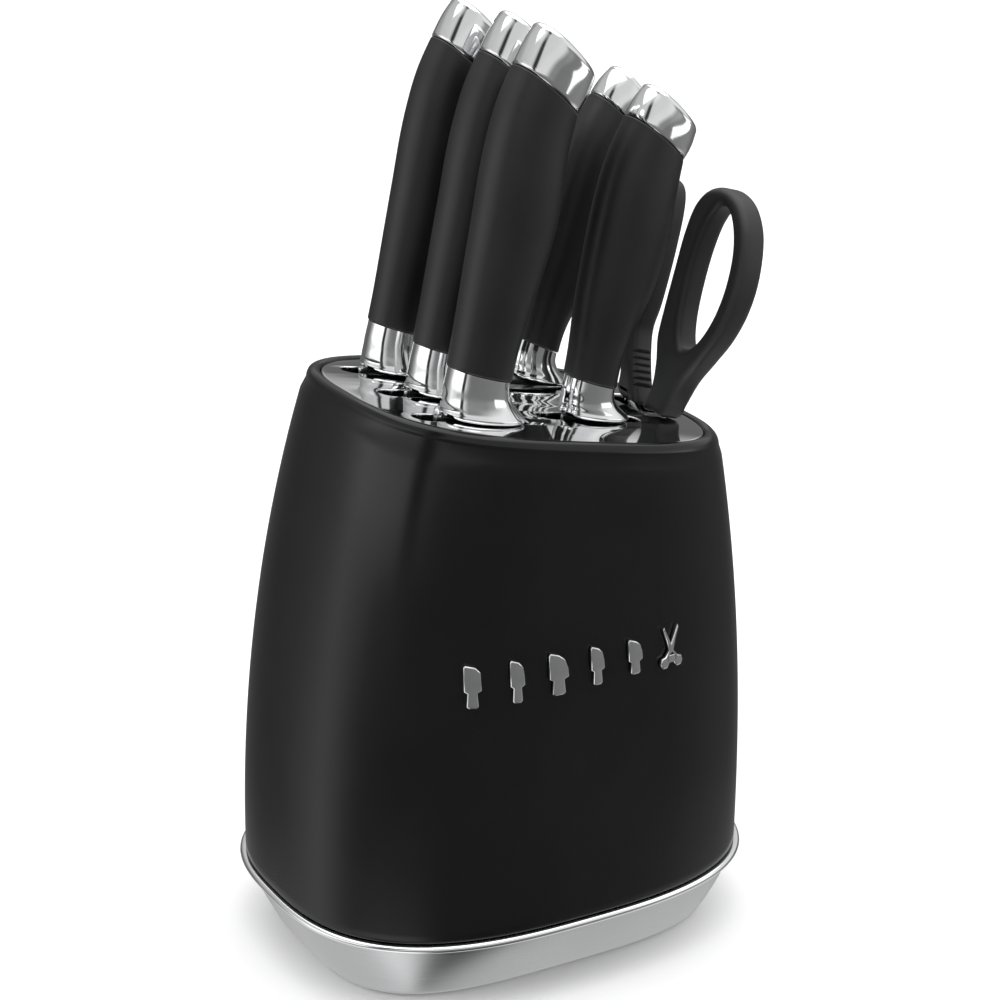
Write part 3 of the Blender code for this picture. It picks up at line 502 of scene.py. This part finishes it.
for inset, rise in ((LIP, -PLATE_T - GAP), (LIP + LEDGE, -PLATE_T - GAP), (LIP + LEDGE, -PLATE_T - 3.0),
                    (WALL + 0.8, -PLATE_T - 8.5)):
    rings.append(body_ring(1.0, inset, rise, square=1.0))
for t in (0.88, 0.79, 0.70, 0.60, 0.50, 0.39, 0.28, 0.14):
    rings.append(body_ring(t, WALL))
rings.append(body_ring(0.0, WALL, GAP))
place(loft("shell_body", rings, closed=True, angle=42), M_SHELL, "block", "outer_shell")


# --------------------------------------------------------------------- tray
def tray_ring(f, z, inset=0.0):
    w = TRAY_W + (RIM_W - TRAY_W) * f - 2 * inset
    d = TRAY_D + (RIM_D - TRAY_D) * f - 2 * inset
    n = TRAY_N + (RIM_N - TRAY_N) * f
    return [(x, y, z) for x, y in even_ring(w, d, n, SEG, TRAY_X * (1 - f))]


def flare(z):
    t = min(max((z - TRAY_Z0) / (RIM_Z - TRAY_Z0), 0.0), 1.0)
    return 1 - (1 - t) ** 1.22


rings = []
for i in range(7):                                  # the rounded lower edge
    a = math.radians(90 * i / 6)
    z = TRAY_Z0 + 1.9 * (1 - math.cos(a))
    rings.append(tray_ring(flare(z), z, 2.2 * (1 - math.sin(a))))
for i in range(1, 22):
    z = 2.4 + (23.7 - 2.4) * i / 21
    rings.append(tray_ring(flare(z), z))
rings.append(tray_ring(1.0, 24.05, 0.15))
for i in range(15):                                 # the bead
    a = math.radians(-90 + 180 * i / 14)
    rings.append(tray_ring(1.0, 25.65 + 1.35 * math.sin(a), -(0.55 + 1.4 * math.cos(a))))
rings += [tray_ring(1.0, 27.0, 0.3), tray_ring(1.0, 27.0, WALL + GAP),
          tray_ring(1.0, 34.0, WALL + GAP + 0.2), tray_ring(1.0, 34.0, WALL + 2.6),
          tray_ring(1.0, 24.0, WALL + 2.6), tray_ring(flare(12.0), 12.0, TRAY_WALL + 0.6),
          tray_ring(flare(4.6), 4.6, TRAY_WALL + 1.5)]
tray = loft("tray_body", rings, fan=False, angle=38)
LEGS = [(-62.0, 18.5), (-62.0, -13.5), (19.0, 12.0), (19.0, -6.0)]
for x, y in LEGS:                                   # countersunk screw holes
    bm = bmesh.new()
    circle = [(1.7, 8.0), (1.7, 2.6), (3.6, 2.6), (3.6, -1.0)]
    rows = [[bm.verts.new(Vector((x + r * math.cos(2 * math.pi * i / 32), y + r * math.sin(2 * math.pi * i / 32), z)) * MM)
             for i in range(32)] for r, z in circle]
    for a, c in zip(rows[:-1], rows[1:]):
        for i in range(32):
            bm.faces.new((a[i], a[(i + 1) % 32], c[(i + 1) % 32], c[i]))
    bm.faces.new(rows[0])
    bm.faces.new(rows[-1])
    carve(tray, to_object("screw_hole", bm))
place(tray, M_TRAY, "block", "base_tray")

# -------------------------------------------------------------------- plate
PLATE = Matrix.Translation((TOP_X * MM, 0, TOP_Z * MM)) @ Matrix.Rotation(TILT, 4, "Y")
edge = [(x / math.cos(TILT), y) for x, y in
        even_ring(TOP_W - 2 * LIP - 2 * GAP, TOP_D - 2 * LIP - 2 * GAP, TOP_N, 200)]
slots = [stadium(k["slot"][0], k["slot"][1], SLOT_WIDTH, 24, k["y"]) for k in KNIVES.values()]
slots.append(round_rect(SC_S - SC_SLOT_W / 2, SC_S + SC_SLOT_W / 2, SC_SLOT[0], SC_SLOT[1], 2.6, 8))
place(flat("plate_sheet", [edge] + slots, PLATE_T, 0.55, 4,
           PLATE @ Matrix.Translation((0, 0, -PLATE_T / 2 * MM)), angle=50),
      M_PLATE, "block", "top_plate")


# ------------------------------------------------------------------- knives
def knife_frame(k):
    lean = math.radians(k["lean"])
    tilt = lean - TILT
    foot = math.radians(k["foot"])
    widest = BOLSTER[k["size"]][1]
    reach = widest[1] + widest[2]
    lift = GAP + reach * (math.tan(tilt) - math.tan(foot))
    base = PLATE @ Vector((k["s"] * MM, k["y"] * MM, 0))
    m = Matrix.Rotation(lean, 4, "Y")
    m.translation = base + m.to_3x3() @ Vector((0, 0, lift * MM))
    return m


def oval(row, n=2.25, seg=80):
    h, c, a, b, slope = row
    return [(x, y, h + slope * (x - c)) for x, y in superellipse(2 * a, 2 * b, n, seg, c)]


def bolster_rows(k):
    base = BOLSTER[k["size"]]
    foot = math.tan(math.radians(k["foot"]))
    rows = []
    for i, (h, c, a, b, slope) in enumerate(base):
        f = 1 - h / base[-1][0]
        if slope is None:
            slope = foot * f - 0.08 * (1 - f)
        rows.append((h + slope * c * (1.0 if i < 3 else f), c, a, b, slope))
    return rows


def blade_loft(name, spec, matrix, teeth=False):
    """The blade, hollow ground to a fine edge, with its tang."""
    rows = []

    def row(z, xs, xe, t, te, wave=0.0):
        w = xe - xs
        return [(xs + 0.25, t / 2, z), (xs, t * 0.28, z), (xs, -t * 0.28, z), (xs + 0.25, -t / 2, z),
                (xs + w * 0.42, -t * 0.48, z), (xe - min(3.2, w * 0.25), -(te + (t - te) * 0.30) / 2, z),
                (xe + wave, -te / 2, z), (xe + wave, te / 2, z),
                (xe - min(3.2, w * 0.25), (te + (t - te) * 0.30) / 2, z), (xs + w * 0.42, t * 0.48, z)]

    half = TANG_W / 2
    for z in (TANG_TOP, TANG_TOP - 3.0, 0.6, -0.4):
        w = half * (0.75 if z == TANG_TOP else 1.0)
        rows.append(row(z, -w, w, TANG_T, TANG_T))
    xs0, xe0, th, length = spec["spine"], spec["edge"], spec["thick"], spec["length"]
    steps = 180 if teeth else 72
    for i in range(0, steps):
        f = i / steps
        z = -0.9 - (length - 0.9) * f
        xs = xs0 + spec["drop"] * max(0.0, (f - 0.62) / 0.38) ** 2
        sweep = spec["belly"]
        up = sweep * f ** 2.4 + (1 - sweep) * max(0.0, (f - 0.78) / 0.22) ** 1.8
        tip = xs0 + spec["drop"]
        xe = xe0 + (tip - xe0) * min(1.0, up)
        xe = max(xe, xs + 2.0)
        wave = -0.9 * abs(math.sin(math.pi * (z + 14.0) / 6.5)) if teeth and z < -14.0 and f < 0.93 else 0.0
        rows.append(row(z, xs, xe, th * (1 - 0.45 * f), 0.18, wave))
    tip = xs0 + spec["drop"]
    rows.append(row(-length, tip - 0.4, tip + 0.8, 0.4, 0.15))
    return loft(name, rows, fan=False, matrix=matrix, angle=24)


def grip_rings(table):
    """A grip: a smooth body between two small rounded ends."""
    rows = spline_rows(table[1:-1], 8)
    first, last = [], []
    for end, near, out in ((table[0], rows[0], first), (table[-1], rows[-1], last)):
        for i in range(5):
            q = math.radians(90 * i / 5)
            u, v = math.sin(q), 1 - math.cos(q)
            out.append([end[0] + (near[0] - end[0]) * v] + [e + (n - e) * u for e, n in zip(end[1:], near[1:])])
    return [oval(r) for r in first + rows + last[::-1]]


for name, k in KNIVES.items():
    at = knife_frame(k)
    size = k["size"]
    per = 6
    place(loft(name + "_bolster_turned", [oval(r) for r in spline_rows(bolster_rows(k), per)], matrix=at, angle=50),
          M_CHROME, name, name + "_bolster")
    place(loft(name + "_grip_moulded", grip_rings(GRIP[size]), matrix=at, angle=50),
          M_GRIP, name, name + "_grip")
    place(loft(name + "_cap_domed", [oval(r) for r in cap_rows(size)], matrix=at, angle=50),
          M_CHROME, name, name + "_end_cap")
    place(blade_loft(name + "_blade_ground", BLADES[k["blade"]], at, k["blade"] == "bread"),
          M_BLADE, name, name + "_blade")

# ----------------------------------------------------------------- scissors
sc_up = Vector((math.sin(SC_LEAN), 0, math.cos(SC_LEAN)))
sc_x = Vector((0, -1, 0))
sc_n = sc_x.cross(sc_up)
sc_origin = PLATE @ Vector((SC_S * MM, 0, 0)) + sc_x * (SC_U * MM) + sc_up * (SC_PIVOT * MM)
SCF = Matrix.Identity(4)
for i in range(3):
    SCF[i][0], SCF[i][1], SCF[i][2] = sc_x[i], sc_up[i], sc_n[i]
    SCF[i][3] = sc_origin[i]


def pq(points):
    return [(u - SC_U, v - SC_PIVOT) for u, v in points]


FLOOR = 0.85
FRONT_OUT = pq([(8.4, FLOOR), (14.8, FLOOR), (21.6, FLOOR + 0.1), (24.0, 6.5), (28.0, 15.5),
                (34.4, 24.5), (40.6, 33.5), (44.8, 43.5), (46.4, 54.0), (45.2, 65.0),
                (41.4, 75.0), (34.0, 82.6), (24.5, 85.6), (15.2, 83.6), (9.0, 77.0),
                (6.6, 66.0), (6.2, 52.0), (6.0, 38.0), (6.4, 27.0), (9.4, 18.0),
                (10.6, 9.0)])
FRONT_IN = pq([(23.0, 26.5), (28.6, 29.0), (33.6, 35.5), (37.0, 44.0), (38.4, 54.0),
               (37.4, 64.5), (33.8, 73.0), (28.6, 78.4), (23.0, 78.8), (18.4, 72.5),
               (16.2, 62.0), (15.8, 50.0), (16.6, 39.0), (19.0, 30.6)])
REAR_OUT = pq([(3.4, FLOOR), (-1.5, FLOOR), (-6.6, FLOOR + 0.1), (-10.0, 3.4), (-10.3, 6.0),
               (-10.8, 9.5), (-13.4, 15.5), (-19.4, 24.0), (-25.6, 33.0), (-29.8, 43.0),
               (-31.4, 53.0), (-30.6, 63.5), (-27.4, 73.0), (-21.0, 80.6), (-14.8, 82.4),
               (-9.8, 79.6), (-7.2, 72.0), (-6.2, 60.0), (-6.0, 48.0), (-6.4, 36.0),
               (-7.6, 27.5), (-5.6, 20.0), (-2.4, 13.0), (1.4, 6.0)])
REAR_IN = pq([(-13.6, 70.5), (-16.6, 73.4), (-20.6, 71.4), (-23.4, 64.0), (-24.4, 54.0),
              (-22.8, 44.5), (-19.4, 37.0), (-15.8, 33.6), (-13.4, 36.5), (-12.6, 46.0),
              (-12.6, 58.0)])


def tang_outline(sign):
    neck = [(13.6, 20.0), (12.6, 23.5), (8.6, 23.5), (7.6, 20.0), (7.0, 8.9)] if sign > 0 \
        else [(11.6, 19.5), (11.0, 21.5), (8.6, 21.5), (8.0, 19.0), (3.4, 9.4)]
    left = [(0.0, 7.4), (-4.6, 5.9), (-7.2, 2.2), (-7.8, -3.0), (-7.6, -18.0),
            (-6.6, -45.0), (-4.6, -72.0), (-1.6, -SC_BLADE_L + 4.0), (0.3, -SC_BLADE_L)]
    right = [(1.4, -SC_BLADE_L + 3.0), (2.8, -76.0), (3.8, -50.0), (4.6, -24.0),
             (5.2, -11.0), (7.4, -4.0), (8.6, 2.0), (12.0, 9.0)] if sign > 0 else \
            [(1.4, -SC_BLADE_L + 3.0), (2.8, -76.0), (3.8, -50.0), (4.6, -24.0),
             (5.2, -11.0), (7.0, -4.0), (7.6, 2.0), (8.2, 9.0)]
    return [(sign * x, y) for x, y in neck + left + right]


def comb(a, b, depth=1.0, count=6):
    a, b = Vector(a), Vector(b)
    side = Vector((a.y - b.y, b.x - a.x)).normalized()
    row = []
    for i in range(count * 2 + 1):
        row.append(a.lerp(b, i / (count * 2)) + side * (-depth if i % 2 else 0.4))
    return [(p.x, p.y) for p in row + [b + side * 3.0, a + side * 3.0]]


HOLE_R = 3.3
hole = [(HOLE_R * math.cos(2 * math.pi * i / 48), HOLE_R * math.sin(2 * math.pi * i / 48))
        for i in range(48)]
handle_f = flat("scissors_bow_front", [smooth_line(FRONT_OUT, 8), smooth_line(FRONT_IN, 8)],
                SC_THICK, 3.0, 6, SCF, angle=50)
handle_r = flat("scissors_bow_rear", [smooth_line(REAR_OUT, 8), smooth_line(REAR_IN, 8)],
                SC_THICK, 3.0, 6, SCF, angle=50)
TEETH = pq([(-5.6, 20.0), (1.2, 6.2)])
room = SC_BLADE_T + 0.15
FRONT_ROOM = [(6.4, 4.0), (6.5, 9.0), (7.0, 20.2), (8.2, 24.0), (13.0, 24.0), (14.2, 20.2),
              (12.8, 8.8), (12.6, 4.0)]
REAR_ROOM = [(-12.2, 19.7), (-11.4, 22.1), (-8.2, 22.1), (-7.4, 19.2), (-2.7, 9.0),
             (-2.7, 4.0), (-8.8, 4.0), (-8.8, 9.0)]
carve(handle_f, flat("front_room", [FRONT_ROOM], room + 0.6, matrix=SCF, offset=-room / 2))
carve(handle_r, flat("rear_room", [REAR_ROOM], room + 0.6, matrix=SCF, offset=room / 2))
carve(handle_r, flat("teeth_comb", [comb(*TEETH)], SC_THICK + 2.0, matrix=SCF))
place(handle_f, M_SCISSOR, "scissors", "scissors_handle_front")
place(handle_r, M_SCISSOR, "scissors_rear", "scissors_handle_rear")
place(flat("scissors_half_front", [tang_outline(+1), hole], SC_BLADE_T - 0.15, 0.3, 2, SCF,
           offset=-SC_BLADE_T / 2 - 0.075), M_SCBLADE, "scissors", "scissors_blade_front")
place(flat("scissors_half_rear", [tang_outline(-1), hole], SC_BLADE_T - 0.15, 0.3, 2, SCF,
           offset=SC_BLADE_T / 2 + 0.075), M_SCBLADE, "scissors_rear", "scissors_blade_rear")


# ------------------------------------------------------------------- badges
def front_point(x, z):
    def surf(px, pz):
        t = (pz - RIM_Z) / (top_z(px) - RIM_Z)
        w, d, n, cx = body_section(t)
        return Vector((px, -d / 2 * (1 - abs(2 * (px - cx) / w) ** n) ** (1 / n), pz))
    p = surf(x, z)
    du = surf(x + 0.5, z) - surf(x - 0.5, z)
    dv = surf(x, z + 0.5) - surf(x, z - 0.5)
    return p, du.cross(dv).normalized(), du.normalized()


def knife_icon(length, width, belly):
    h = length
    blade0 = -h / 2 + h * 0.40
    return [(-width * 0.36, -h / 2 + 0.7), (-width * 0.20, -h / 2), (width * 0.20, -h / 2),
            (width * 0.36, -h / 2 + 0.7), (width * 0.30, blade0 - 0.8), (width * 0.55, blade0),
            (width * (0.55 - 0.02), blade0 + h * 0.2), (width * (0.5 - 0.16 * belly), h / 2 - h * 0.18),
            (width * (0.22 - 0.2 * belly), h / 2 - 1.0), (-width * 0.42, h / 2),
            (-width * 0.5, h / 2 - 0.8), (-width * 0.5, blade0), (-width * 0.30, blade0 - 0.8)]


def scissors_icon(h):
    bow = [(0.0, -2.6), (1.0, -2.9), (0.9, -h / 2 + 2.0), (2.2, -h / 2 + 0.2), (4.0, -h / 2 + 0.3),
           (5.0, -h / 2 + 2.0), (4.4, -h / 2 + 3.9), (2.6, -h / 2 + 4.4), (1.0, -1.2)]
    half = bow + [(1.9, 2.2), (3.5, h / 2 - 1.0), (3.0, h / 2)] + [(0.0, 1.1)]
    left = [(-x, y) for x, y in reversed(half[1:-1])]
    return half + left


ICONS = [("badge_knife_1", knife_icon(BADGE_H, 6.0, 0.1)),
         ("badge_knife_2", knife_icon(BADGE_H, 5.2, 0.5)),
         ("badge_knife_3", knife_icon(BADGE_H, 7.2, 1.0)),
         ("badge_knife_4", knife_icon(BADGE_H * 0.92, 5.2, 0.7)),
         ("badge_knife_5", knife_icon(BADGE_H * 0.84, 5.6, 0.8)),
         ("badge_scissors", scissors_icon(BADGE_H))]
for i, (name, outline) in enumerate(ICONS):
    x = BADGE_X0 + (BADGE_X1 - BADGE_X0) * i / (len(ICONS) - 1)
    p, normal, along = front_point(x, BADGE_Z)
    up = normal.cross(along)
    m = Matrix.Identity(4)
    at = p + normal * (GAP + BADGE_T / 2)
    for r in range(3):
        m[r][0], m[r][1], m[r][2], m[r][3] = along[r], up[r], normal[r], at[r] * MM
    place(flat(name + "_cast", [outline], BADGE_T, 0.55, 4, m, angle=40), M_BADGE, "block", name)

# ------------------------------------------- CAD nodes that stay, dressed up
for name, mat in [("non_slip_pad", M_PAD), ("guide_rack", M_RACK), ("scissors_pivot", M_SCREW)] + \
                 [("rack_screw_%d" % i, M_SCREW) for i in range(1, 5)]:
    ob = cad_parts[name]
    ob.data.materials.clear()
    ob.data.materials.append(mat)

# -------------------------------------------------------------------- studio
M_FLOOR, nt, b = nodes_for("floor_pale")
fac = noise(nt, (1, 1, 1), 6.0, 3.0, 0.5)
nt.links.new(mixed(nt, fac, (0.93, 0.93, 0.93), (0.95, 0.95, 0.95)), b.inputs["Base Color"])
b.inputs["Roughness"].default_value = 0.9
b.inputs["Specular IOR Level"].default_value = 0.1
bm = bmesh.new()
bmesh.ops.create_grid(bm, x_segments=2, y_segments=2, size=9.0)
floor = to_object("studio_floor", bm)
floor.data.materials.append(M_FLOOR)
floor.visible_glossy = False

world = bpy.data.worlds.new("studio")
bpy.context.scene.world = world
world.use_nodes = True
nt = world.node_tree
bg = nt.nodes["Background"]
tc = node(nt, "ShaderNodeTexCoord")
xyz = node(nt, "ShaderNodeSeparateXYZ")
nt.links.new(tc.outputs["Generated"], xyz.inputs["Vector"])
turn = ranged(nt, math_node(nt, "ARCTAN2", xyz.outputs["Y"], xyz.outputs["X"]), 0.0, 1.0, -math.pi, math.pi)


def around(stops):
    """Brightness round the studio, from (degrees, brightness) pairs."""
    ramp = node(nt, "ShaderNodeValToRGB")
    nt.links.new(turn, ramp.inputs["Fac"])
    stops = sorted(((a - 180) / 360.0 if a >= 180 else (a + 180) / 360.0, v) for a, v in stops)
    el = ramp.color_ramp.elements
    el[0].position, el[1].position = 0.0, 1.0
    wrap = stops[0][1] + (stops[-1][1] - stops[0][1]) * 0.5
    el[0].color = el[1].color = (wrap, wrap, wrap, 1.0)
    for p, v in stops:
        e = el.new(min(max(p, 0.0005), 0.9995))
        e.color = (v, v, v, 1.0)
    return ramp.outputs["Color"]


deep = around([(150, 1.0), (162, 0.86), (174, 0.50), (186, 0.28), (205, 0.20), (225, 0.17), (240, 0.17), (290, 0.20),
               (312, 0.22), (338, 0.26), (350, 0.24), (15, 0.14), (118, 0.14), (135, 0.50)])
mid = around([(150, 1.08), (166, 0.86), (180, 0.50), (194, 0.30), (200, 0.36), (206, 0.38), (212, 0.34), (217, 0.19),
              (240, 0.18), (290, 0.20), (312, 0.22), (338, 0.26), (350, 0.24), (15, 0.14), (118, 0.14), (135, 0.50)])
low = around([(150, 1.7), (186, 1.7), (199, 1.5), (204, 0.03), (213, 0.03), (217, 0.80), (224, 0.55), (234, 0.28),
              (254, 0.27), (290, 0.27), (312, 0.40), (338, 1.0), (350, 0.65), (15, 0.14), (118, 0.14), (132, 0.60)])
high = around([(60, 0.6), (95, 0.3), (140, 0.5), (160, 0.95), (199, 0.95), (206, 0.04), (217, 0.04), (222, 0.85),
               (245, 0.80), (285, 0.80), (320, 0.95), (0, 0.8)])
upper = around([(60, 0.6), (100, 0.55), (150, 0.60), (196, 0.70), (205, 0.50), (211, 0.04), (223, 0.04), (229, 0.70),
                (285, 0.75), (320, 0.95), (0, 0.8)])
below = around([(150, 0.72), (185, 0.80), (206, 1.25), (232, 1.10), (252, 0.05), (290, 0.05), (308, 0.25), (330, 0.70),
                (60, 0.66)])
z = xyz.outputs["Z"]
col = mixed(nt, ranged(nt, z, 0.0, 1.0, -0.17, -0.10), deep, mid)
col = mixed(nt, ranged(nt, z, 0.0, 1.0, -0.01, 0.05), col, low)
col = mixed(nt, ranged(nt, z, 0.0, 1.0, 0.12, 0.22), col, high)
col = mixed(nt, ranged(nt, z, 0.0, 1.0, 0.34, 0.46), col, upper)
col = mixed(nt, ranged(nt, z, 0.0, 1.0, 0.70, 0.90), col, (1.1, 1.1, 1.1))
col = mixed(nt, ranged(nt, z, 1.0, 0.0, -0.62, -0.42), col, below)
path = node(nt, "ShaderNodeLightPath")
nt.links.new(mixed(nt, path.outputs["Is Camera Ray"], col, (1.0, 1.0, 1.0)), bg.inputs["Color"])
bg.inputs["Strength"].default_value = 1.0


def area(name, at, aim, size, power, size_y, glossy=True):
    li = bpy.data.lights.new(name, "AREA")
    li.shape = "RECTANGLE"
    li.size, li.size_y, li.energy = size, size_y, power
    ob = bpy.data.objects.new(name, li)
    bpy.context.scene.collection.objects.link(ob)
    ob.location = at
    ob.rotation_euler = (Vector(aim) - Vector(at)).to_track_quat("-Z", "Y").to_euler()
    ob.visible_glossy = glossy
    ob.visible_camera = False
    return ob


area("overhead_softbox", (0.3, 0.6, 2.6), (0.1, 0.4, 0), 4.2, 70.0, 4.2)
area("left_softbox", (-1.3, 0.25, 0.75), (0, 0, 0.15), 0.7, 5.0, 0.9, False)
area("card_right", (0.40, -0.30, 0.235), (0.02, 0.0, 0.30), 0.34, 0.085, 0.07)
area("right_softbox", (1.25, -0.35, 0.75), (0, 0, 0.2), 0.6, 4.0, 0.9, False)

# -------------------------------------------------------------------- camera
th, ph, cr = math.radians(29.655), math.radians(19.601), math.radians(0.264)
view = Vector((math.sin(th) * math.cos(ph), math.cos(th) * math.cos(ph), -math.sin(ph)))
r0 = Vector((math.cos(th), -math.sin(th), 0.0))
u0 = r0.cross(view)
right = r0 * math.cos(cr) + u0 * math.sin(cr)
top = -r0 * math.sin(cr) + u0 * math.cos(cr)
cam = bpy.data.cameras.new("studio_camera")
cam.sensor_width = 36.0
cam.lens = 90.504
cam.clip_start, cam.clip_end = 0.01, 30.0
camera = bpy.data.objects.new("studio_camera", cam)
bpy.context.scene.collection.objects.link(camera)
m = Matrix.Identity(4)
for i in range(3):
    m[i][0], m[i][1], m[i][2] = right[i], top[i], -view[i]
m.translation = Vector((-0.4192, -0.7421, 0.4647))
camera.matrix_world = m
bpy.context.scene.camera = camera
bpy.context.scene.view_settings.view_transform = "Standard"

bpy.context.view_layer.update()
